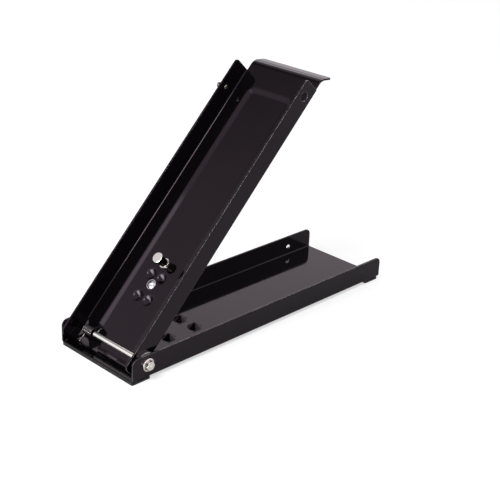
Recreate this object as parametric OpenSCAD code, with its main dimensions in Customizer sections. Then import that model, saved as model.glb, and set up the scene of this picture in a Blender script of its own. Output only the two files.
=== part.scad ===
// Folding can crusher: a sheet steel tray with a sprung lever hinged at one end.
// Lengths in millimetres, angles in degrees. The part stands on its two feet at z = 0.

/* [Tray] */
// length of the tray
tray_l = 300; // [260:1:340]
// width over the outer faces of the tray
tray_w = 90; // [80:1:100]
// height of the tray flanges above the underside
tray_h = 20; // [18:0.5:24]
// thickness of the steel sheet
sheet_t = 1.5; // [1.2:0.1:1.8]
// outer radius of the pressed bends
bend_r = 2.5; // [2.2:0.1:3.5]
// radius of the upper corners of the tray flanges
tray_corner_r = 5.5; // [3:0.5:8]
// distance of the raised bumps from the hinge end, to their middle
bump_x = 83; // [78:1:90]
// spacing of the raised bumps along the tray
bump_dx = 29; // [27:0.5:31]
// spacing of the raised bumps across the tray
bump_dy = 18.6; // [17:0.2:20]
// height of the raised bumps
bump_h = 4.7; // [3.6:0.1:5]
// slope of the sides of the bumps
bump_slope = 40; // [36:1:44]
// radius of the rounded tip of the bumps
bump_tip_r = 2; // [1.8:0.1:2.4]

/* [Feet] */
// thickness of the rubber feet
foot_t = 2; // [1.5:0.1:3]
// length of the foot at the hinge end
foot_hinge_l = 18.6; // [14:0.2:24]
// length of the foot at the free end
foot_free_l = 17; // [14:0.2:24]
// inset of the feet from the sides of the tray
foot_inset = 0.6; // [0.5:0.1:2]

/* [Hinge] */
// distance of the hinge from the end of the tray
hinge_x = 15; // [14.5:0.5:18]
// height of the hinge above the underside of the tray
hinge_z = 12; // [12:0.1:12.6]
// gap between each lever flange and the tray flange beside it
side_gap = 2.5; // [2:0.1:3]
// diameter of the hinge bolt
bolt_d = 4; // [3.6:0.1:4.2]
// radial running clearance on the hinge bolt
bolt_clear = 0.05; // [0.03:0.01:0.08]
// outer diameter of the spacer tube
tube_d = 4.9; // [4.8:0.1:5.1]
// flat to flat width of the bolt head and of the nut
nut_af = 7; // [7:0.1:8]
// flange diameter of the bolt head and of the nut
nut_flange_d = 11; // [10:0.2:12]
// height of the bolt head
head_h = 4.4; // [3.6:0.1:5]
// height of the nut
nut_h = 2.8; // [2.4:0.1:3.4]

/* [Lever] */
// angle of the open lever above the tray
open_a = 46; // [44:0.5:47]
// angle of the closed lever above the tray
closed_a = 1; // [0.8:0.1:2]
// height of the lever flanges, web included
lever_h = 18.3; // [17.5:0.1:20]
// distance from the hinge down to the underside of the lever web
web_drop = 4.1; // [4:0.1:4.2]
// length of the lever flanges behind the hinge
heel_l = 13; // [12.5:0.1:13.4]
// distance from the end of the lever flanges to the end of the tray, folded
lever_short = 24.2; // [20:0.2:28]
// radius of the upper corners at the free end of the lever flanges
lever_corner_r = 3.2; // [2:0.2:6]
// radius of the upper corners at the hinge end of the lever flanges
heel_corner_r = 4; // [3:0.5:6]
// radius of the lower corners at the hinge end of the lever flanges
heel_low_r = 5; // [5:0.1:6]
// length of the web behind the hinge
web_tail_l = 9.7; // [9:0.1:9.8]
// depth of the pressed panel in the web
panel_d = 0.8; // [0.5:0.1:1]
// width of the sloped border of the panel
panel_slope_w = 4.5; // [3.5:0.1:5.5]
// distance from the lever side to the panel
panel_inset = 15.7; // [14:0.1:17]
// distance from the end of the lever flanges to the panel
panel_end = 13.8; // [12:0.2:18]
// height of the dimples in the web
dimple_h = 3.9; // [3:0.1:4.2]
// distance of the dimples from the hinge, to their middle
dimple_u = 55; // [53:0.5:57]
// spacing of the dimples along the lever
dimple_du = 20.6; // [20:0.2:22]
// spacing of the dimples across the lever
dimple_dy = 12.6; // [12:0.2:14]
// diameter of the hanging hole in the near lever flange
hang_hole_d = 8; // [6:0.2:9]

/* [Lip] */
// inset of the finger lip from the sides of the lever
lip_inset = 2; // [1.5:0.1:4]
// straight length of web between the flanges and the bend of the lip
lip_neck = 6; // [5:0.2:9]
// outer bend radius of the lip
lip_r = 10; // [8:0.5:12]
// angle of the lip
lip_a = 51; // [45:1:56]
// straight length of the lip beyond its bend
lip_l = 8; // [5:0.2:9]

/* [Rivet and post] */
// distance of the middle rivet from the hinge
rivet_u = 57.3; // [56:0.1:58]
// head diameter of the middle rivet
rivet_d = 8.8; // [7:0.1:9]
// distance of the post from the hinge
post_u = 77.6; // [76:0.1:80]
// head diameter of the post
post_d = 9.2; // [8.6:0.1:10]
// height of the post above the web
post_h = 11.3; // [8:0.1:12]
// diameter of the post under its head
neck_d = 7.2; // [6.4:0.1:7.6]
// diameter of the collar of the post
collar_d = 8.8; // [8.4:0.1:9.6]

/* [Spring] */
// diameter of the spring wire
wire_d = 1.25; // [1.1:0.05:1.3]
// mean diameter of the coil
coil_d = 6.6; // [6.4:0.1:7.2]
// whole turns of the coil
coil_turns = 6; // [5:1:6]
// pitch of the coil
coil_pitch = 1.86; // [1.8:0.02:1.9]
// distance of the last turn from the far lever flange
coil_side = 6.5; // [6:0.1:7]

/* [Latch] */
// distance of the latch rivet from the free end of the tray
latch_end = 31; // [29:0.5:33]
// height of the latch rivet above the underside of the tray
latch_z = 8.9; // [8.5:0.1:9.5]
// thickness of the latch plate
latch_t = 1.5; // [1.2:0.1:1.8]
// width of the latch plate
latch_w = 8.4; // [8:0.1:9]
// width of metal round the notch of the latch
latch_nose_w = 4.35; // [4:0.05:4.6]
// distance of the latch stud from the end of the lever flanges
stud_end = 25.1; // [24:0.1:27]
// height of the latch stud above the hinge, with the lever folded
stud_v = 11.2; // [11:0.1:11.6]
// shank diameter of the latch stud
stud_d = 3.4; // [3:0.1:4]
// diameter of the latch rivet
latch_rivet_d = 3; // [2.8:0.1:3.2]

/* [Hidden] */
$fn = 48;
// gap left beside a face that slides past another one
face_clear = 0.1;
// clearance between the rolled shanks and their holes
shank_clear = 0.05;

lever_w = tray_w - 2*(sheet_t + side_gap);
lever_y = sheet_t + side_gap;
web_lo = -web_drop;
web_hi = web_lo + sheet_t;
lever_top = web_lo + lever_h;
flange_l = tray_l - hinge_x - lever_short;
mid_y = tray_w/2;
// the washers between the flanges just clear the bends of the tray
washer_d = 2*(hinge_z - bend_r);

panel_y0 = lever_y + panel_inset;
panel_y1 = tray_w - panel_y0;
panel_u0 = -web_tail_l - 1.3;
panel_u1 = flange_l - panel_end;
panel_corner_r = panel_slope_w + 3;
floor_hi = web_hi - panel_d;
floor_lo = web_lo - panel_d;

// the spring stands in this cut-out of the web, beside the far lever flange
cut_y = mid_y + 12.5;
cut_u = 5.5;
cut_deep_u = 8.8;
cut_deep_y = mid_y + 23;
tail_notch_y0 = mid_y - 12.5;
tail_notch_y1 = mid_y + 0.5;
tail_notch = 1.4;

coil_r = coil_d/2;
coil_far_y = tray_w - lever_y - sheet_t - coil_side;
coil_near_y = coil_far_y - coil_pitch*(coil_turns + 1/360);
leg_drop = web_drop + panel_d + 0.66*wire_d;

stud_u = flange_l - stud_end;
stud_sv = stud_v + web_lo;
stud_x = hinge_x + stud_u*cos(closed_a) - stud_sv*sin(closed_a);
stud_z = hinge_z + stud_u*sin(closed_a) + stud_sv*cos(closed_a);
latch_x = tray_l - latch_end;
latch_reach = norm([latch_x - stud_x, stud_z - latch_z]);
latch_swing = atan2(stud_z - latch_z, latch_x - stud_x);
slot_r = stud_d/2 + 0.35;
latch_y = tray_w + face_clear;
latch_head_y = latch_y + latch_t + face_clear;
stud_head_h = 1.5;
stud_end_y = tray_w + face_clear + latch_t + 0.5 + stud_head_h;
latch_head_h = 1.5;

// length of the bolt beyond its nut
bolt_tip = 0.4;

// outer corners of the whole part at rest
heel_u = -heel_l + heel_corner_r;
heel_v = lever_top - heel_corner_r;
x_lo = min(0, hinge_x + heel_u*cos(open_a) - heel_v*sin(open_a) - heel_corner_r);
x_hi = tray_l;
y_lo = -head_h;
y_hi = max(stud_end_y, tray_w + nut_h + bolt_tip, latch_head_y + latch_head_h);

steel_c = [0.78, 0.78, 0.8];
paint_c = [0.09, 0.085, 0.09];
rubber_c = [0.16, 0.16, 0.17];
spring_c = [0.6, 0.6, 0.63];

// tray coordinates have x along the tray from its hinge end, y across and z up
module in_frame() translate([-(x_lo + x_hi)/2, -(y_lo + y_hi)/2, foot_t]) children();
// lever coordinates have x along the lever from the hinge and z away from the web
module on_lever() translate([hinge_x, 0, hinge_z]) rotate([0, -open_a, 0]) children();
module along_y(x, z, y0, y1, r) translate([x, y0, z]) rotate([-90, 0, 0]) cylinder(h = y1 - y0, r = r);
module side_plate(y0, y1) translate([0, y1, 0]) rotate([90, 0, 0]) linear_extrude(y1 - y0) children();

module round_floor(w, h, r) {
    translate([0, r]) square([w, h - r]);
    translate([r, 0]) square([w - 2*r, r + 0.01]);
    translate([r, r]) circle(r);
    translate([w - r, r]) circle(r);
}
module channel(w, h, l) rotate([90, 0, 90]) linear_extrude(l) difference() {
    round_floor(w, h, bend_r);
    translate([sheet_t, sheet_t]) round_floor(w - 2*sheet_t, h, bend_r - sheet_t);
}
module round_top(x0, x1, z0, z1, r0, r1) {
    translate([x0, z0]) square([x1 - x0, z1 - z0 - max(r0, r1)]);
    translate([x0 + r0, z0]) square([x1 - x0 - r0 - r1, z1 - z0]);
    translate([x0 + r0, z1 - r0]) circle(r0);
    translate([x1 - r1, z1 - r1]) circle(r1);
    translate([x0, z1 - max(r0, r1) - 0.01]) square([r0, max(r0, r1) - r0 + 0.01]);
    translate([x1 - r1, z1 - max(r0, r1) - 0.01]) square([r1, max(r0, r1) - r1 + 0.01]);
}

// a pressed bump: a cone with a rounded tip, and the hollow under it one sheet thickness inside
function bump_cone_h(h) = h - bump_tip_r*(1 - cos(bump_slope));
function bump_r(h) = bump_tip_r*sin(bump_slope) + bump_cone_h(h)/tan(bump_slope);
module ball_cap(mid_z, low_z, r) intersection() {
    translate([0, 0, mid_z]) sphere(r);
    translate([0, 0, low_z]) cylinder(h = 2*r, r = 2*r);
}
module bump_skin(h) {
    translate([0, 0, -0.4]) cylinder(h = 0.4, r = bump_r(h));
    cylinder(h = bump_cone_h(h), r1 = bump_r(h), r2 = bump_tip_r*sin(bump_slope));
    ball_cap(h - bump_tip_r, bump_cone_h(h), bump_tip_r);
}
module bump_hollow(h) {
    tip = bump_tip_r - sheet_t;
    top = h - bump_tip_r + tip*cos(bump_slope);
    low = -sheet_t - 0.3;
    translate([0, 0, low])
        cylinder(h = top - low, r1 = tip*sin(bump_slope) + (top - low)/tan(bump_slope), r2 = tip*sin(bump_slope));
    ball_cap(h - bump_tip_r, top, tip);
}
module bump_places() for (i = [-1, 1], j = [-1, 1])
    translate([bump_x + i*bump_dx/2, mid_y + j*bump_dy/2, sheet_t]) children();
module dimple_places() for (i = [-1, 1], j = [-1, 1])
    translate([dimple_u + i*dimple_du/2, mid_y + j*dimple_dy/2, floor_lo]) rotate([180, 0, 0]) children();

module base_tray() color(paint_c) difference() {
    union() {
        intersection() {
            channel(tray_w, tray_h, tray_l);
            side_plate(-1, tray_w + 1) round_top(0, tray_l, -1, tray_h, tray_corner_r, tray_corner_r);
        }
        bump_places() bump_skin(bump_h);
    }
    bump_places() bump_hollow(bump_h);
    along_y(hinge_x, hinge_z, -1, tray_w + 1, bolt_d/2 + shank_clear);
    along_y(latch_x, latch_z, mid_y, tray_w + 1, latch_rivet_d/2 + shank_clear);
    translate([leg_tip_x, leg_y, -1]) cylinder(h = sheet_t + 2, r = wire_d/2 + 0.35);
}

module foot(x0, x1) color(rubber_c) translate([0, 0, -foot_t]) linear_extrude(foot_t) {
    r = 1.2;
    translate([x0 + r, foot_inset]) square([x1 - x0 - 2*r, tray_w - 2*foot_inset]);
    translate([x0, foot_inset + r]) square([x1 - x0, tray_w - 2*foot_inset - 2*r]);
    for (x = [x0 + r, x1 - r], y = [foot_inset + r, tray_w - foot_inset - r]) translate([x, y]) circle(r);
}
module foot_hinge_end() foot(0, foot_hinge_l);
module foot_free_end() foot(tray_l - 1.5 - foot_free_l, tray_l - 1.5);

// flanged hexagon: the flange, its sloped top and the chamfered hexagon on it
module hex_flange(h) {
    flat = 0.36*h;
    cylinder(h = flat, r = nut_flange_d/2);
    translate([0, 0, flat]) cylinder(h = 0.12*h, r1 = nut_flange_d/2, r2 = nut_flange_d/2 - 0.9);
    intersection() {
        cylinder(h = h, r = nut_af/2/cos(30), $fn = 6);
        union() {
            cylinder(h = h - 0.35, r = nut_af);
            translate([0, 0, h - 0.35]) cylinder(h = 0.35, r1 = nut_af/2 + 0.45, r2 = nut_af/2 - 0.25);
        }
    }
}
module hinge_bolt() color(steel_c) translate([hinge_x, 0, hinge_z]) difference() {
    union() {
        rotate([90, 0, 0]) hex_flange(head_h);
        along_y(0, 0, -0.5, tray_w + nut_h, bolt_d/2);
        translate([0, tray_w + nut_h, 0]) rotate([-90, 0, 0])
            cylinder(h = bolt_tip, r1 = bolt_d/2, r2 = bolt_d/2 - bolt_tip);
    }
    // small centre mark in the head
    along_y(0, 0, -head_h - 1, -head_h + 0.3, 0.5);
}
module hinge_nut() color(steel_c) translate([hinge_x, tray_w, hinge_z]) rotate([-90, 0, 0]) difference() {
    hex_flange(nut_h);
    translate([0, 0, -1]) cylinder(h = nut_h + 2, r = bolt_d/2 + shank_clear);
}
module washer(y0, y1) color(steel_c) difference() {
    along_y(hinge_x, hinge_z, y0, y1, washer_d/2);
    along_y(hinge_x, hinge_z, y0 - 1, y1 + 1, bolt_d/2 + bolt_clear);
}
module washer_near() washer(sheet_t, lever_y - face_clear);
module washer_far() washer(tray_w - lever_y + face_clear, tray_w - sheet_t);
module spacer_tube() color(steel_c) difference() {
    along_y(hinge_x, hinge_z, lever_y + bend_r, cut_y + 7.5, tube_d/2);
    along_y(hinge_x, hinge_z, 0, tray_w, bolt_d/2 + bolt_clear);
}

// the panel: a shallow rounded pan whose border slopes, from z = 0 down to z = -d
module pan(u0, u1, y0, y1, rc, s, d) {
    for (u = [u0 + rc, u1 - rc], y = [y0 + rc, y1 - rc])
        translate([u, y, -d]) cylinder(h = d, r1 = rc - s, r2 = rc);
    translate([u0 + rc, 0, 0]) rotate([90, 0, 90]) linear_extrude(u1 - u0 - 2*rc)
        polygon([[y0, 0], [y1, 0], [y1 - s, -d], [y0 + s, -d]]);
    translate([0, y1 - rc, 0]) rotate([90, 0, 0]) linear_extrude(y1 - y0 - 2*rc)
        polygon([[u0, 0], [u1, 0], [u1 - s, -d], [u0 + s, -d]]);
}
module panel_pan() pan(panel_u0, panel_u1, panel_y0, panel_y1, panel_corner_r, panel_slope_w, panel_d);

// outline of the web, seen from above: a square tail with a shallow notch, and the spring cut-out
module web_outline() difference() {
    translate([-web_tail_l, lever_y + bend_r]) square([flange_l + web_tail_l, lever_w - 2*bend_r]);
    translate([-web_tail_l - 1, cut_y]) square([web_tail_l + 1 + cut_u, lever_w]);
    translate([0, cut_deep_y]) square([cut_deep_u, lever_w]);
    translate([cut_u - 1, cut_y + 1]) polygon([[0, 0], [1, 0], [cut_deep_u - cut_u + 1, cut_deep_y - cut_y],
        [cut_deep_u - cut_u + 1, cut_deep_y - cut_y + 1], [0, cut_deep_y - cut_y + 1]]);
    translate([-web_tail_l - 1, tail_notch_y0]) square([tail_notch + 1, tail_notch_y1 - tail_notch_y0]);
}
module web_plate() intersection() {
    translate([0, 0, floor_lo - 1]) linear_extrude(sheet_t + panel_d + 1) web_outline();
    difference() {
        union() {
            translate([-20, 0, web_lo]) cube([tray_l + 20, tray_w, sheet_t]);
            translate([0, 0, web_lo]) panel_pan();
        }
        translate([0, 0, web_hi]) panel_pan();
    }
}
module flange_side() difference() {
    round_top(-heel_l, flange_l, web_lo, lever_top, heel_corner_r, lever_corner_r);
    difference() {
        translate([-heel_l - 1, web_lo - 1]) square([heel_low_r + 1, heel_low_r + 1]);
        translate([-heel_l + heel_low_r, web_lo + heel_low_r]) circle(heel_low_r);
    }
}
module flanges() intersection() {
    translate([-heel_l, lever_y, web_lo]) channel(lever_w, lever_h, flange_l + heel_l);
    side_plate(0, tray_w) flange_side();
    union() {
        translate([-heel_l - 1, 0, -50]) cube([tray_l, lever_y + bend_r, 100]);
        translate([-heel_l - 1, tray_w - lever_y - bend_r, -50]) cube([tray_l, 40, 100]);
    }
}
// the far bend is cut back with the web where the spring stands
module far_bend_cut() translate([-heel_l - 1, tray_w - lever_y - bend_r - 0.1, floor_lo - 1])
    cube([heel_l + 1 + cut_deep_u, bend_r - sheet_t + 0.1, web_drop + panel_d + 3]);

lip_u = flange_l + lip_neck;
lip_n = 40;
// side of the lip: straight neck, bend in small flats, straight tip
function lip_bend(r, a) = [lip_u + r*sin(a), web_hi - lip_r + r*cos(a)];
function lip_arc(r) = [for (i = [0:lip_n]) lip_bend(r, lip_a*i/lip_n)];
function lip_tip(r) = lip_bend(r, lip_a) + lip_l*[cos(lip_a), -sin(lip_a)];
module lip_side() polygon(concat([[flange_l - 4, web_hi]], lip_arc(lip_r), [lip_tip(lip_r), lip_tip(lip_r - sheet_t)],
    [for (i = [lip_n:-1:0]) lip_bend(lip_r - sheet_t, lip_a*i/lip_n)], [[flange_l - 4, web_lo]]));
module lip() difference() {
    side_plate(lever_y + lip_inset, tray_w - lever_y - lip_inset) lip_side();
    // rounded corners of the lip
    translate([lip_u, 0, web_hi - lip_r]) rotate([0, lip_a, 0])
        for (m = [0, 1]) translate([0, m*tray_w, 0]) mirror([0, m, 0])
            translate([lip_l - 2.5, lever_y + lip_inset + 2.5, lip_r - sheet_t - 1]) difference() {
                translate([0, -3, 0]) cube([4, 3, sheet_t + 2]);
                translate([0, 0, -1]) cylinder(h = sheet_t + 4, r = 2.5);
            }
}
module lever_arm() color(paint_c) on_lever() difference() {
    union() {
        flanges();
        web_plate();
        lip();
        intersection() {
            dimple_places() bump_skin(dimple_h);
            translate([0, 0, -50]) cube([tray_l, tray_w, 50 + floor_lo + 0.2]);
        }
    }
    dimple_places() bump_hollow(dimple_h);
    far_bend_cut();
    along_y(0, 0, 0, tray_w, bolt_d/2 + bolt_clear);
    along_y(flange_l - 12.3, web_lo + 10.3, 0, mid_y, hang_hole_d/2);
    along_y(stud_u, stud_sv, mid_y, tray_w, stud_d/2 + shank_clear);
    translate([rivet_u, mid_y, floor_lo - 5]) cylinder(h = 20, r = 2 + shank_clear);
    translate([post_u, mid_y, floor_lo - 5]) cylinder(h = 20, r = 2.5 + shank_clear);
}

// a low domed head: a slice of a ball over its flat seat at z = 0
module dome(d, h) {
    r = (d*d/4 + h*h)/(2*h);
    intersection() {
        translate([0, 0, h - r]) sphere(r, $fn = 64);
        cylinder(h = h + 1, r = d/2);
    }
}
module centre_rivet() color(steel_c) on_lever() translate([rivet_u, mid_y, 0]) {
    translate([0, 0, floor_hi]) cylinder(h = 0.5, r = rivet_d/2);
    translate([0, 0, floor_hi + 0.49]) dome(rivet_d - 1.4, 1.7);
    translate([0, 0, floor_lo - 0.1]) cylinder(h = sheet_t + 0.3, r = 2);
    translate([0, 0, floor_lo]) rotate([180, 0, 0]) dome(7, 1.4);
}
module lever_post() color(steel_c) on_lever() translate([post_u, mid_y, 0]) {
    translate([0, 0, floor_hi]) cylinder(h = 0.8, r = collar_d/2);
    translate([0, 0, floor_hi]) cylinder(h = post_h - 1, r = neck_d/2);
    translate([0, 0, floor_hi + post_h - 1.6]) cylinder(h = 0.4, r1 = neck_d/2, r2 = post_d/2);
    translate([0, 0, floor_hi + post_h - 1.2]) cylinder(h = 0.9, r = post_d/2);
    translate([0, 0, floor_hi + post_h - 0.3]) cylinder(h = 0.3, r1 = post_d/2, r2 = post_d/2 - 0.3);
    translate([0, 0, floor_lo - 0.1]) cylinder(h = sheet_t + 0.3, r = 2.5);
    translate([0, 0, floor_lo]) rotate([180, 0, 0]) dome(8, 1.3);
}
module latch_stud() color(steel_c) on_lever() translate([stud_u, 0, stud_sv]) rotate([-90, 0, 0]) {
    inner_y = tray_w - lever_y - sheet_t;
    translate([0, 0, inner_y - 0.1]) cylinder(h = stud_end_y - stud_head_h - inner_y + 0.3, r = stud_d/2);
    translate([0, 0, inner_y]) rotate([180, 0, 0]) dome(stud_d + 0.4, 0.7);
    translate([0, 0, tray_w - lever_y]) cylinder(h = 0.9, r = stud_d/2 + 0.8);
    translate([0, 0, stud_end_y - stud_head_h]) cylinder(h = stud_head_h, r = stud_d/2 + 0.7);
}

// the latch lies along the far side of the tray and swings up about its rivet to hold the stud
module latch_side() difference() {
    union() {
        circle(0.6*latch_w);
        translate([-latch_reach, -0.55*latch_w]) square([latch_reach, latch_w]);
        translate([-latch_reach - 0.07*latch_w, -0.07*latch_w]) circle(slot_r + latch_nose_w);
    }
    translate([-latch_reach, 0]) circle(slot_r);
    intersection() {
        difference() { circle(latch_reach + slot_r, $fn = 96); circle(latch_reach - slot_r, $fn = 96); }
        translate([-latch_reach - 1.2*latch_w, 0]) square(2.4*latch_w);
    }
    circle(latch_rivet_d/2 + shank_clear);
}
module latch_hook() color(steel_c) side_plate(latch_y, latch_y + latch_t)
    translate([latch_x, latch_z]) latch_side();
module latch_rivet() color(steel_c) translate([latch_x, 0, latch_z]) rotate([-90, 0, 0]) {
    translate([0, 0, tray_w - sheet_t - 0.1])
        cylinder(h = latch_head_y - tray_w + sheet_t + 0.3, r = latch_rivet_d/2);
    translate([0, 0, tray_w - sheet_t]) rotate([180, 0, 0]) dome(5, 1.4);
    translate([0, 0, latch_head_y]) dome(5.6, latch_head_h);
}

// route of the spring wire, from its tip in the tray floor round the bolt to its tip under the web
leg_a = -50;
leg_y = coil_far_y;
leg_run = coil_d;
leg_tip_x = hinge_x + coil_r*cos(leg_a) + leg_run*sin(leg_a) - 2.4*wire_d;
turn_a = open_a - 90 - leg_a + 360*coil_turns;
function rot(p, a) = [p[0]*cos(a) - p[2]*sin(a), p[1], p[0]*sin(a) + p[2]*cos(a)];
function coil_at(s) = [coil_r*cos(leg_a + turn_a*s), coil_far_y - (coil_far_y - coil_near_y)*s,
                       coil_r*sin(leg_a + turn_a*s)];
leg_start = [coil_r*cos(leg_a), leg_y, coil_r*sin(leg_a)];
leg_dir = [sin(leg_a), 0, -cos(leg_a)];
low_bend = leg_start + leg_run*leg_dir;
leg_x = leg_tip_x - hinge_x;
floor_z = 0.2*sheet_t - hinge_z;
lead_in = [[leg_x, leg_y, floor_z], [leg_x, leg_y, floor_z + wire_d], [leg_x, leg_y, low_bend[2] - 1.92*wire_d],
    [leg_x + 0.32*wire_d, leg_y, low_bend[2] - 1.2*wire_d], [leg_x + 1.04*wire_d, leg_y, low_bend[2] - 0.72*wire_d],
    low_bend, leg_start + 0.5*leg_run*leg_dir];
steps = 8*coil_turns;
coil_pts = [for (i = [0:steps]) coil_at(i/steps)];
leg_out = [[-0.24, -coil_r], [1.52, -coil_r - 0.24*wire_d], [2.8, 0.64*wire_d - leg_drop],
    [4.08, -leg_drop], [10.96, -leg_drop], [11.96, -leg_drop]];
lead_out = [for (q = leg_out) rot([coil_r + q[0]*wire_d, coil_near_y, q[1]], open_a)];
wire_pts = concat(lead_in, coil_pts, lead_out);

function unit(v) = v/norm(v);
function heading(p, i) = i == 0 ? unit(p[1] - p[0]) : i == len(p) - 1 ? unit(p[i] - p[i - 1])
    : unit(unit(p[i] - p[i - 1]) + unit(p[i + 1] - p[i]));
function ring(p, i, r) = let (t = heading(p, i), a = unit(cross(t, [0, 1, 0])), b = cross(t, a))
    [for (k = [0:5]) p[i] + r*(cos(60*k)*a + sin(60*k)*b)];
module swept(p, r) {
    n = len(p);
    pts = [for (i = [0:n - 1]) each ring(p, i, r)];
    sides = [for (i = [0:n - 2], k = [0:5]) let (a = 6*i + k, b = 6*i + (k + 1)%6) each
        [[a, b, b + 6], [a, b + 6, a + 6]]];
    caps = [for (k = [1:4]) each [[0, k + 1, k], [6*(n - 1), 6*(n - 1) + k, 6*(n - 1) + k + 1]]];
    polyhedron(points = pts, faces = concat(sides, caps), convexity = 10);
}
// least distance between centre lines of the wire that are half a turn or more apart along it
function far_gap(p, n) = min([for (i = [0:len(p) - 1]) for (j = [i + n:1:len(p) - 1]) norm(p[i] - p[j])]);
fine_pts = concat([for (i = [2:6]) lead_in[i]], [for (i = [0:steps*3]) coil_at(i/steps/3)], lead_out);
self_gap = far_gap(fine_pts, 10) - wire_d;
echo("least gap of the spring wire to itself", self_gap);
module torsion_spring() color(spring_c) translate([hinge_x, 0, hinge_z]) swept(wire_pts, wire_d/2);

in_frame() {
    base_tray();
    foot_hinge_end();
    foot_free_end();
    hinge_bolt();
    hinge_nut();
    washer_near();
    washer_far();
    spacer_tube();
    torsion_spring();
    lever_arm();
    centre_rivet();
    lever_post();
    latch_stud();
    latch_hook();
    latch_rivet();
}
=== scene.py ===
import math
import bmesh
import bpy
from mathutils import Matrix, Vector


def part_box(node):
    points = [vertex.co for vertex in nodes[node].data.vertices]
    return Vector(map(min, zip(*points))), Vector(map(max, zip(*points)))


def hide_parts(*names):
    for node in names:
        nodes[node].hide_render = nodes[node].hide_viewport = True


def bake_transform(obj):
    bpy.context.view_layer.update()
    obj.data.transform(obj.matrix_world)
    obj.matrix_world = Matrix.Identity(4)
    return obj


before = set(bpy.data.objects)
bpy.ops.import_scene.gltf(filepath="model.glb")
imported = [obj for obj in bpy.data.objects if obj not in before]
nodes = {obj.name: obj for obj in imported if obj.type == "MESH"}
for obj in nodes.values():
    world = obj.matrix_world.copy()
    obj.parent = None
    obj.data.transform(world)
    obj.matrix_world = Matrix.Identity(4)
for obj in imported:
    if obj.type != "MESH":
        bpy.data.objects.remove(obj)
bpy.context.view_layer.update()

# driving sizes in millimetres, the same as in the part's source: x runs from the hinge end of the tray,
# y from its near side, and z up from the underside of its sheet; the studio's own places are in metres
MM = 0.001
TRAY_W = 90.0
SHEET_T = 1.5
BUMP_X = 83.0
SIDE_GAP = 2.5
HINGE = Vector((15.0, 0.0, 12.0))
OPEN_A = math.radians(46.0)
WEB_DROP = 4.1
PANEL_D = 0.8
DIMPLE_U = 55.0
POST_H = 11.3
COLLAR_H = 0.8
WIRE_D = 1.25
COIL_R = 3.3
COIL_TURNS = 6
COIL_PITCH = 1.86
COIL_SIDE = 6.5

MID_Y = TRAY_W / 2
LEVER_Y = SHEET_T + SIDE_GAP
POST_FOOT = SHEET_T - WEB_DROP - PANEL_D
TRAY_CORNER = Vector(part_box("base_tray")[0])


def row(p):
    # from millimetres on the tray to metres in the frame
    return TRAY_CORNER + Vector(p) * MM


def row_y(y):
    return row((0, y, 0)).y


def lever_place(u, y, v):
    # millimetres on the tray, where u runs along the open lever from the hinge and v is square to its web
    return HINGE + Vector((u * math.cos(OPEN_A) - v * math.sin(OPEN_A), y,
                           u * math.sin(OPEN_A) + v * math.cos(OPEN_A)))


# building node trees

BEVEL_SAMPLES = 6
BUMP_HEIGHT = 0.1


def connect(tree, socket, value):
    # a socket is linked, and any other value is set
    if isinstance(value, bpy.types.NodeSocket):
        tree.links.new(value, socket)
    else:
        socket.default_value = value


def set_inputs(tree, node, inputs):
    for key, value in inputs.items():
        connect(tree, node.inputs[key], value)


def add(tree, kind, inputs=None, **settings):
    node = tree.nodes.new("ShaderNode" + kind)
    for key, value in settings.items():
        setattr(node, key, value)
    set_inputs(tree, node, inputs or {})
    return node


def calc(tree, operation, *values):
    return add(tree, "Math", dict(enumerate(values)), operation=operation).outputs["Value"]


def vector_calc(tree, operation, *values):
    node = add(tree, "VectorMath", dict(enumerate(values)), operation=operation)
    return node.outputs["Vector" if operation == "MULTIPLY" else "Value"]


def coordinates(tree, kind="Object"):
    return add(tree, "TexCoord").outputs[kind]


def split(tree, vector):
    return add(tree, "SeparateXYZ", {"Vector": vector}).outputs


def local_axes(tree, origin, angle):
    # X, Y and Z in metres from the origin, in axes that are turned up by the angle as the lever is
    inputs = {"Vector": coordinates(tree), "Location": origin, "Rotation": (0, -angle, 0)}
    return split(tree, add(tree, "Mapping", inputs, vector_type="TEXTURE").outputs["Vector"])


def noise(tree, scale, detail, vector=None):
    if vector is None:
        vector = coordinates(tree)
    return add(tree, "TexNoise", {"Vector": vector, "Scale": scale, "Detail": detail}).outputs["Fac"]


def fade(tree, source, start, end, low=0.0, high=1.0):
    # low where the source is at start, and smoothly to high where it is at end
    inputs = {"Value": source, "From Min": start, "From Max": end, "To Min": low, "To Max": high}
    return add(tree, "MapRange", inputs, interpolation_type="SMOOTHSTEP").outputs["Result"]


def mix(tree, data_type, factor, a, b):
    return add(tree, "Mix", {"Factor": factor, "A": a, "B": b}, data_type=data_type).outputs["Result"]


def ramp(tree, source, *stops):
    # each stop is a place on the ramp and its colour
    node = add(tree, "ValToRGB", {"Fac": source})
    elements = node.color_ramp.elements
    while len(elements) < len(stops):
        elements.new(0.5)
    for element, (position, colour) in zip(elements, stops):
        element.position = position
        element.color = (*colour, 1)
    return node.outputs["Color"]


def two_tone(tree, source, dark, light):
    # dark where the source is under 0.3, and light where it is over 0.7
    return ramp(tree, source, (0.3, dark), (0.7, light))


def bevel(tree, radius):
    return add(tree, "Bevel", {"Radius": radius}, samples=BEVEL_SAMPLES).outputs["Normal"]


def bump(tree, height, strength, normal=None):
    inputs = {"Height": height, "Strength": strength, "Distance": BUMP_HEIGHT * MM}
    if normal is not None:
        inputs["Normal"] = normal
    return add(tree, "Bump", inputs).outputs["Normal"]


def new_material(name):
    material = bpy.data.materials.new(name)
    material.use_nodes = True
    return material, material.node_tree, material.node_tree.nodes["Principled BSDF"]


# black enamel

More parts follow.
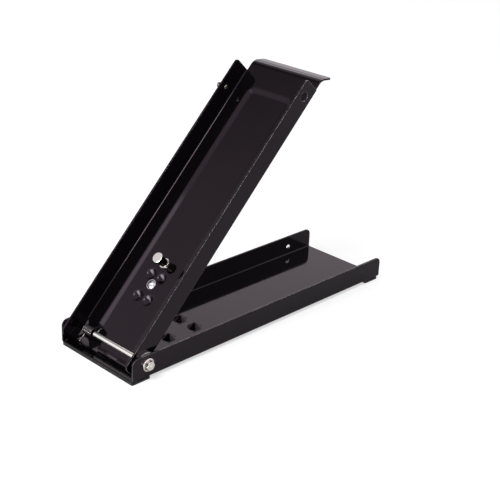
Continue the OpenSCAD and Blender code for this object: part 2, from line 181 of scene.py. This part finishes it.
ENAMEL_DARK = (0.0016, 0.0014, 0.0016)
ENAMEL_LIGHT = (0.0026, 0.0023, 0.0026)
ENAMEL_SMOOTH = 0.05
ENAMEL_ROUGH = 0.09
ENAMEL_IOR = 1.39
ENAMEL_TINT = (1.0, 0.76, 0.97, 1)
PEEL_BUMP = 0.035
EDGE_R = 0.4
EDGE_COSINES = (0.98, 0.85)
# a highlight painted on the cut edges: its pale colour, the rougher enamel there, how far in from the near
# flange's outer face it is full, and how much of it the other edges get
EDGE_HIGHLIGHT = (0.7, 0.68, 0.7, 1)
EDGE_ROUGHER = 0.2
HIGHLIGHT_DEPTH = 0.5
FAR_SIDE_HIGHLIGHT = 0.04

# pressed forms as boxes in the plane of the sheet, in millimetres from the middle of its bumps or dimples:
# the middle of the box, its half size and the radius of the bends in it
TRAY_PRESSED = (((0, 0), (30, 24), 1.3),)
LEVER_PRESSED = (((71, 0), (134, 31.5), 2.1), ((0, 0), (16.5, 12.5), 2.4))
BOX_FADE = 3


def box_mask(tree, local, middle, half):
    # 1 inside a box in the local XY plane, fading out beyond it
    within = []
    for axis, centre, reach in zip("XY", middle, half):
        away = calc(tree, "ABSOLUTE", calc(tree, "SUBTRACT", local[axis], centre * MM))
        within.append(fade(tree, away, (reach + BOX_FADE) * MM, reach * MM))
    return calc(tree, "MULTIPLY", *within)


def painted_edge_highlight(tree, near_y):
    # 1 on cut edges, where the normal over a small radius turns away from the face's own; this painted
    # highlight is patchy, full on the near flange, whose outer face is at near_y, and slight elsewhere
    face = add(tree, "NewGeometry").outputs["Normal"]
    edge = fade(tree, vector_calc(tree, "DOT_PRODUCT", bevel(tree, EDGE_R * MM), face), *EDGE_COSINES)
    y = split(tree, coordinates(tree))["Y"]
    inner = near_y + HIGHLIGHT_DEPTH
    near_side = fade(tree, y, row_y(inner + EDGE_R), row_y(inner), low=FAR_SIDE_HIGHLIGHT)
    patchy = fade(tree, noise(tree, scale=160, detail=3), 0.35, 0.65, low=0.35)
    return calc(tree, "MULTIPLY", calc(tree, "MULTIPLY", edge, near_side), patchy)


def enamel(name, origin, angle, pressed, near_y):
    # gloss enamel on pressed sheet, with a slight orange peel, softened bends, and a pale highlight painted
    # on its cut edges
    material, tree, shader = new_material(name)
    local = local_axes(tree, origin, angle)
    radius = EDGE_R * MM
    for middle, half, bend_r in pressed:
        radius = mix(tree, "FLOAT", box_mask(tree, local, middle, half), radius, bend_r * MM)
    # pale colour painted on the cut edges as a highlight
    edge_highlight = painted_edge_highlight(tree, near_y)
    tone = two_tone(tree, noise(tree, scale=35, detail=3), ENAMEL_DARK, ENAMEL_LIGHT)
    gloss = fade(tree, noise(tree, scale=90, detail=4), 0.2, 0.8, low=ENAMEL_SMOOTH, high=ENAMEL_ROUGH)
    set_inputs(tree, shader, {
        "Base Color": mix(tree, "RGBA", edge_highlight, tone, EDGE_HIGHLIGHT),
        "Roughness": calc(tree, "ADD", gloss, calc(tree, "MULTIPLY", edge_highlight, EDGE_ROUGHER)),
        "Normal": bump(tree, noise(tree, scale=420, detail=1), PEEL_BUMP, bevel(tree, radius)),
        "IOR": ENAMEL_IOR,
        "Specular Tint": ENAMEL_TINT,
    })
    return material


# metals

PLATING = (0.95, 0.95, 0.88)
TUBE_STEEL = (0.99, 0.99, 0.93)
BOLT_STEEL = (0.98, 0.93, 0.88)
SATIN_STEEL = (0.62, 0.61, 0.61)
RIVET_STEEL = (0.56, 0.55, 0.57)
STUD_STEEL = (0.36, 0.31, 0.27)
SPRING_STEEL = (0.15, 0.135, 0.14)
DARK_TONE_LOW = (0.012, 0.008, 0.006)
DARK_TONE_HIGH = (0.05, 0.034, 0.022)
BLOTCH_SHADE = 0.92
GRAIN_BUMP = 0.06

# where the plating ends and the dark begins, in millimetres: up the post, across the tray on the bolt, and
# across the tray at both ends of its hexagon
POST_DARK_TOP = POST_H - 0.4
BOLT_DARK_Y = 0.2
HEXAGON_FACE_Y = -3.7
HEXAGON_FOOT_Y = -1.9


def metal(name, colour, roughness, grain=(300, 300, 300), edge_r=0.2):
    # one noise, with grain as its scale along each axis, drives the colour, the roughness and the bump
    material, tree, shader = new_material(name)
    grained = add(tree, "Mapping", {"Vector": coordinates(tree), "Scale": grain}).outputs["Vector"]
    blotch = noise(tree, scale=1.0, detail=3, vector=grained)
    smooth, rough = roughness
    polish = add(tree, "MapRange", {"Value": blotch, "To Min": smooth, "To Max": rough})
    set_inputs(tree, shader, {
        "Metallic": 1.0,
        "Base Color": two_tone(tree, blotch, tuple(c * BLOTCH_SHADE for c in colour), colour),
        "Roughness": polish.outputs["Result"],
        "Normal": bump(tree, blotch, GRAIN_BUMP, bevel(tree, edge_r * MM)),
    })
    return material


def darkened(material, amount):
    # a darker surface where the amount is 1, which on the bolt's hexagon is painted shade
    tree = material.node_tree
    colour = tree.nodes["Principled BSDF"].inputs["Base Color"]
    plain = colour.links[0].from_socket
    dark_tone = two_tone(tree, noise(tree, scale=700, detail=3), DARK_TONE_LOW, DARK_TONE_HIGH)
    connect(tree, colour, mix(tree, "RGBA", amount, plain, dark_tone))
    return material


def post_steel():
    # a plated collar and a plated top, and dark between them
    material = metal("post_steel", PLATING, roughness=(0.1, 0.18))
    tree = material.node_tree
    height = local_axes(tree, row(lever_place(0, 0, POST_FOOT)), OPEN_A)["Z"]
    above_collar = fade(tree, height, (COLLAR_H + 0.05) * MM, (COLLAR_H + 0.2) * MM)
    below_top = fade(tree, height, (POST_DARK_TOP + 0.1) * MM, (POST_DARK_TOP - 0.1) * MM)
    return darkened(material, calc(tree, "MULTIPLY", above_collar, below_top))


def bolt_steel():
    # a plated head outside the tray with painted shade round the sides of its hexagon, and a dark shank
    # inside
    material = metal("bolt_steel", BOLT_STEEL, roughness=(0.15, 0.24), edge_r=0.3)
    tree = material.node_tree
    y = split(tree, coordinates(tree))["Y"]
    shank = fade(tree, y, row_y(BOLT_DARK_Y), row_y(BOLT_DARK_Y + 0.4))
    below_face = fade(tree, y, row_y(HEXAGON_FACE_Y - 0.3), row_y(HEXAGON_FACE_Y))
    above_foot = fade(tree, y, row_y(HEXAGON_FOOT_Y + 0.2), row_y(HEXAGON_FOOT_Y - 0.2))
    patchy = fade(tree, noise(tree, scale=500, detail=2), 0.4, 0.6, low=0.2, high=0.8)
    # painted shade on the sides of the hexagon
    hexagon_shade = calc(tree, "MULTIPLY", calc(tree, "MULTIPLY", below_face, above_foot), patchy)
    return darkened(material, calc(tree, "ADD", shank, hexagon_shade))


# rubber

RUBBER_DARK = (0.012, 0.012, 0.012)
RUBBER_LIGHT = (0.022, 0.021, 0.021)
RUBBER_ROUGH = 0.62
RUBBER_BUMP = 0.3


def rubber():
    material, tree, shader = new_material("black_rubber")
    set_inputs(tree, shader, {
        "Base Color": two_tone(tree, noise(tree, scale=260, detail=4), RUBBER_DARK, RUBBER_LIGHT),
        "Roughness": RUBBER_ROUGH,
        "Normal": bump(tree, noise(tree, scale=1800, detail=2), RUBBER_BUMP),
    })
    return material


# a finish for each piece of the part

bright = metal("bright_plated_steel", PLATING, roughness=(0.1, 0.18))
satin = metal("plated_steel", SATIN_STEEL, roughness=(0.24, 0.36))
feet = rubber()
looks = {
    "base_tray": enamel("tray_enamel", row((BUMP_X, MID_Y, 0)), 0.0, TRAY_PRESSED, 0.0),
    "lever_arm": enamel("lever_enamel", row(lever_place(DIMPLE_U, MID_Y, 0)), OPEN_A, LEVER_PRESSED, LEVER_Y),
    "foot_hinge_end": feet,
    "foot_free_end": feet,
    "hinge_bolt": bolt_steel(),
    "hinge_nut": satin,
    "washer_near": bright,
    "washer_far": bright,
    "spacer_tube": metal("tube_steel", TUBE_STEEL, roughness=(0.16, 0.26), grain=(60, 900, 60)),
    "torsion_spring": satin,
    "centre_rivet": metal("rivet_steel", RIVET_STEEL, roughness=(0.16, 0.24)),
    "lever_post": post_steel(),
    "latch_stud": metal("stud_steel", STUD_STEEL, roughness=(0.22, 0.32)),
    "latch_hook": satin,
    "latch_rivet": bright,
}
for name, node in nodes.items():
    node.data.materials.clear()
    node.data.materials.append(looks[name])

# torsion spring, drawn again as a round wire on the route that the solid has

COIL_FAR_Y = TRAY_W - LEVER_Y - SHEET_T - COIL_SIDE
COIL_NEAR_Y = COIL_FAR_Y - COIL_PITCH * (COIL_TURNS + 1 / 360)
LEG_A = math.radians(-50.0)
LEG_RUN = 2 * COIL_R
LEG_DROP = WEB_DROP + PANEL_D + 0.66 * WIRE_D
TIP_BACK = 2.4 * WIRE_D
TIP_Z = 0.2 * SHEET_T
STEPS_A_TURN = 24
WIRE_SIDES = 16

# the bend at the low end of the far leg: each point's x from the tip and z from that end, in wire diameters
FAR_BEND = ((0, -1.92), (0.32, -1.2), (1.04, -0.72))
# the near leg along the lever: each point's way out from the coil in wire diameters, and its height v
NEAR_LEG = ((-0.24, -COIL_R), (1.52, -COIL_R - 0.24 * WIRE_D), (2.8, 0.64 * WIRE_D - LEG_DROP),
            (4.08, -LEG_DROP), (10.96, -LEG_DROP), (11.96, -LEG_DROP))


def round_bolt(angle, y):
    return HINGE + Vector((COIL_R * math.cos(angle), y, COIL_R * math.sin(angle)))


def spring_route():
    # from the tip in the tray floor, up the far leg, round the bolt and out under the lever's web
    start = round_bolt(LEG_A, COIL_FAR_Y)
    leg = LEG_RUN * Vector((math.sin(LEG_A), 0, -math.cos(LEG_A)))
    low = start + leg
    tip_x = low.x - TIP_BACK
    points = [Vector((tip_x, COIL_FAR_Y, TIP_Z)), Vector((tip_x, COIL_FAR_Y, TIP_Z + WIRE_D))]
    for x, z in FAR_BEND:
        points.append(Vector((tip_x + x * WIRE_D, COIL_FAR_Y, low.z + z * WIRE_D)))
    points += [low, start + 0.5 * leg]
    turned = OPEN_A - math.pi / 2 - LEG_A + math.tau * COIL_TURNS
    steps = STEPS_A_TURN * COIL_TURNS
    for i in range(steps + 1):
        done = i / steps
        points.append(round_bolt(LEG_A + turned * done, COIL_FAR_Y + (COIL_NEAR_Y - COIL_FAR_Y) * done))
    for out, v in NEAR_LEG:
        points.append(lever_place(COIL_R + out * WIRE_D, COIL_NEAR_Y, v))
    return [row(p) for p in points]


def round_wire(name, points, radius, sides):
    # a tube with closed ends along the points
    bm = bmesh.new()
    rings = []
    last = len(points) - 1
    angles = [math.tau * k / sides for k in range(sides)]
    for i, centre in enumerate(points):
        along = (points[min(i + 1, last)] - points[max(i - 1, 0)]).normalized()
        side = along.cross(Vector((0, 1, 0))).normalized()
        up = along.cross(side)
        ring = [centre + radius * (math.cos(a) * side + math.sin(a) * up) for a in angles]
        rings.append([bm.verts.new(corner) for corner in ring])
    for ring, following in zip(rings, rings[1:]):
        for k in range(sides):
            after = (k + 1) % sides
            bm.faces.new((ring[k], ring[after], following[after], following[k])).smooth = True
    bm.faces.new(list(reversed(rings[0])))
    bm.faces.new(rings[-1])
    bmesh.ops.recalc_face_normals(bm, faces=bm.faces)
    mesh = bpy.data.meshes.new(name)
    bm.to_mesh(mesh)
    bm.free()
    wire = bpy.data.objects.new(name, mesh)
    bpy.context.scene.collection.objects.link(wire)
    return wire


spring = round_wire("torsion_spring_wire", spring_route(), WIRE_D / 2 * MM, WIRE_SIDES)
dark_wire = metal("spring_steel", SPRING_STEEL, roughness=(0.1, 0.18), grain=(200, 200, 200))
spring.data.materials.append(dark_wire)
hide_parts("torsion_spring")
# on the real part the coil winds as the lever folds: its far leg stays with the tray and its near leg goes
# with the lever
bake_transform(spring)

# studio, in metres: what the camera sees of it is white, and reflections have their own tones and softboxes

WHITE = (1.0, 1.0, 1.0, 1.0)
ROOM_LIGHT = (1.0, 0.93, 0.99, 1)
BOX_LIGHT = (0.94, 1.05, 1.0, 1)
FLOOR_SIZE = 12
FLOOR_Z = -0.0002
FLOOR_GREY = (0.62, 0.62, 0.62, 1)
FLOOR_ROUGH = 0.9
FLOOR_WHITENER = 0.58

# the floor in reflections: dim by the object and bright well clear of it, with one patch of light, whose
# coordinates are scaled to make it long
FLOOR_DIM = 0.02
FLOOR_BRIGHT = 0.9
FLOOR_DIM_TO = 0.5
FLOOR_BRIGHT_FROM = 1.5
PATCH_SCALE = (0.5, 1, 1)
PATCH_CENTRE = (-0.26, -0.01, 0)
PATCH_RADII = (0.16, 0.05)
PATCH_POWER = 13.0
PATCH_TONED_FROM = 3.0

# the world: its diffuse light, and in reflections a dark gap and a softbox; the gap's stops go by the cosine
# of the angle to its middle, and the softbox's coordinates are scaled to make it low
SKY_LEVEL = 0.55
GAP_TOWARD = (97, 42)
GAP_STOPS = ((0.80, 1.0), (0.86, 0.95), (0.92, 0.75), (0.955, 0.6), (0.98, 0.28), (1.0, 0.06))
SOFTBOX_SCALE = (1, 1, 3)
SOFTBOX_AZ = math.radians(203)
SOFTBOX_CENTRE = (math.cos(SOFTBOX_AZ), math.sin(SOFTBOX_AZ), 0.15)
SOFTBOX_RADII = (0.42, 0.2)
SOFTBOX_POWER = 24.0
SOFTBOX_TONED_FROM = 4.0

# lamps: name, place, target, size and watts
LAMPS = (("key", (-0.95, -0.2, 1.4), (0, 0, 0.06), (0.8, 0.42), 13),
         ("left", (-1.26, 0.6, 1.2), (0, 0, 0.1), (0.7, 0.62), 2.2),
         ("back", (0.8, 1.17, 1.14), (0, 0, 0.06), (0.9, 0.3), 1.2))


def ray_kinds(tree):
    # the rays from the camera, and those from gloss and glass
    rays = add(tree, "LightPath").outputs
    return rays["Is Camera Ray"], calc(tree, "MAXIMUM", rays["Is Glossy Ray"], rays["Is Transmission Ray"])


def light_colour(tree, mirrored, boxed):
    # white to the camera and as diffuse light, and in reflections the room's tone or the softbox's
    toned = mix(tree, "RGBA", mirrored, WHITE, ROOM_LIGHT)
    return mix(tree, "RGBA", calc(tree, "MULTIPLY", mirrored, boxed), toned, BOX_LIGHT)


def lit_round(tree, place, scale, centre, radii, power):
    away = vector_calc(tree, "DISTANCE", vector_calc(tree, "MULTIPLY", place, scale), centre)
    outer, inner = radii
    return fade(tree, away, outer, inner, high=power)


def unit(azimuth, elevation):
    # a direction from degrees, with the azimuth from +X towards +Y
    a, e = math.radians(azimuth), math.radians(elevation)
    return math.cos(e) * math.cos(a), math.cos(e) * math.sin(a), math.sin(e)


def pale_floor():
    material, tree, shader = new_material("pale_floor")
    camera_ray, mirrored = ray_kinds(tree)
    place = coordinates(tree)
    away = vector_calc(tree, "LENGTH", place)
    clear = fade(tree, away, FLOOR_DIM_TO, FLOOR_BRIGHT_FROM, low=FLOOR_DIM, high=FLOOR_BRIGHT)
    patch = lit_round(tree, place, PATCH_SCALE, PATCH_CENTRE, PATCH_RADII, PATCH_POWER)
    seen = calc(tree, "MULTIPLY", camera_ray, FLOOR_WHITENER)
    reflected = calc(tree, "MULTIPLY", mirrored, calc(tree, "ADD", clear, patch))
    set_inputs(tree, shader, {
        "Base Color": FLOOR_GREY,
        "Roughness": FLOOR_ROUGH,
        "Specular IOR Level": 0.0,
        "Emission Color": light_colour(tree, mirrored, fade(tree, patch, 0.0, PATCH_TONED_FROM)),
        "Emission Strength": calc(tree, "ADD", seen, reflected),
    })
    return material


def studio_world():
    world = bpy.data.worlds.new("studio")
    world.use_nodes = True
    tree = world.node_tree
    camera_ray, mirrored = ray_kinds(tree)
    direction = coordinates(tree, "Generated")
    facing = vector_calc(tree, "DOT_PRODUCT", direction, unit(*GAP_TOWARD))
    room = ramp(tree, facing, *((cosine, (grey, grey, grey)) for cosine, grey in GAP_STOPS))
    softbox = lit_round(tree, direction, SOFTBOX_SCALE, SOFTBOX_CENTRE, SOFTBOX_RADII, SOFTBOX_POWER)
    unseen = mix(tree, "FLOAT", mirrored, SKY_LEVEL, calc(tree, "ADD", room, softbox))
    set_inputs(tree, tree.nodes["Background"], {
        "Strength": mix(tree, "FLOAT", camera_ray, unseen, 1.0),
        "Color": light_colour(tree, mirrored, fade(tree, softbox, 0.0, SOFTBOX_TONED_FROM)),
    })
    return world


def lamp(name, place, target, size, watts):
    light = bpy.data.lights.new(name, "AREA")
    light.shape = "RECTANGLE"
    light.size, light.size_y = size
    light.energy = watts
    holder = bpy.data.objects.new(name, light)
    bpy.context.scene.collection.objects.link(holder)
    holder.location = place
    holder.rotation_euler = (Vector(target) - Vector(place)).to_track_quat("-Z", "Y").to_euler()


bpy.ops.mesh.primitive_plane_add(size=FLOOR_SIZE, location=(0, 0, FLOOR_Z))
floor = bpy.context.object
floor.name = "floor"
floor.data.materials.append(pale_floor())
bpy.context.scene.world = studio_world()
for settings in LAMPS:
    lamp(*settings)

# camera, fitted to the edges of the object in the picture; its aim and distance are in the tray's millimetres

YAW = math.radians(46.16)
TILT = math.radians(24.0)
ROLL = math.radians(2.56)
AIM = Vector((150, 45, 60))
AIM_ACROSS = 14.28
AIM_UP = -4.11
DISTANCE = 980.03
FOCAL_PX = 1138.95
FRAME_PX = 500
SENSOR = 36
FARTHEST = 50


def photo_camera():
    back = Vector((-math.sin(YAW) * math.cos(TILT), -math.cos(YAW) * math.cos(TILT), math.sin(TILT)))
    across = (-back).cross(Vector((0, 0, 1))).normalized()
    up = across.cross(-back)
    rolled_across = across * math.cos(ROLL) + up * math.sin(ROLL)
    rolled_up = -across * math.sin(ROLL) + up * math.cos(ROLL)
    place = Matrix((rolled_across, rolled_up, back)).transposed().to_4x4()
    place.translation = row(AIM + across * AIM_ACROSS + up * AIM_UP + back * DISTANCE)
    lens = bpy.data.cameras.new("camera")
    lens.sensor_width = SENSOR
    lens.lens = FOCAL_PX * SENSOR / FRAME_PX
    lens.clip_end = FARTHEST
    camera = bpy.data.objects.new("camera", lens)
    bpy.context.scene.collection.objects.link(camera)
    camera.matrix_world = place
    return camera


bpy.context.scene.camera = photo_camera()
bpy.context.scene.view_settings.view_transform = "Standard"
